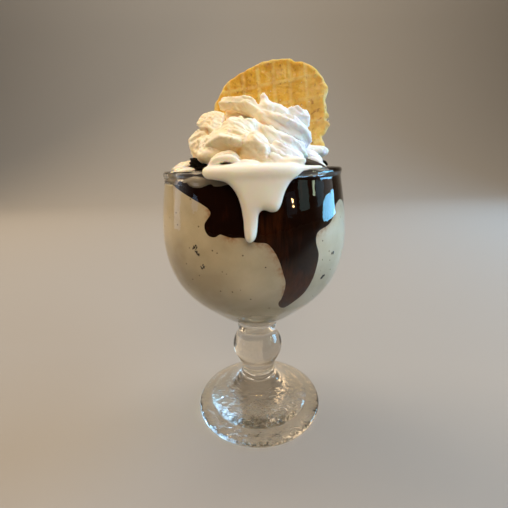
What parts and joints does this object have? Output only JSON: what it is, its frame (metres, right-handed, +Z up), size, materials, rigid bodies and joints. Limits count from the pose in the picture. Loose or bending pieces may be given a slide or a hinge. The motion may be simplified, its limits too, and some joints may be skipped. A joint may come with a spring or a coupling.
{
  "type": "ice cream sundae in a glass goblet",
  "caption": "Ice cream sundae in a thick stemmed glass goblet: vanilla ice cream, hot fudge, whipped cream that drips over the lip, and a waffle.",
  "frame": {"origin": "the middle of the foot's flat underside", "axes": "+Z up along the goblet's axis; -Y is the front, where the cream drips over the lip; +X is to the right seen from the front"},
  "size_m": [0.115, 0.117, 0.2421],
  "materials": {
    "glass": "clear pressed soda glass, fire polished",
    "ice_cream": "soft vanilla ice cream with fine specks, smooth and moist against the glass",
    "hot_fudge": "glossy, nearly black chocolate fudge",
    "whipped_cream": "whipped cream, soft and slightly shiny, melted where it runs over the lip",
    "waffle": "thin sugar waffle, baked golden, glossy with caramelised sugar"
  },
  "bodies": {
    "root": {"glass": "glass", "ice_cream": "ice_cream", "hot_fudge": "hot_fudge", "whipped_cream": "whipped_cream", "waffle": "waffle"}
  },
  "joints": []
}
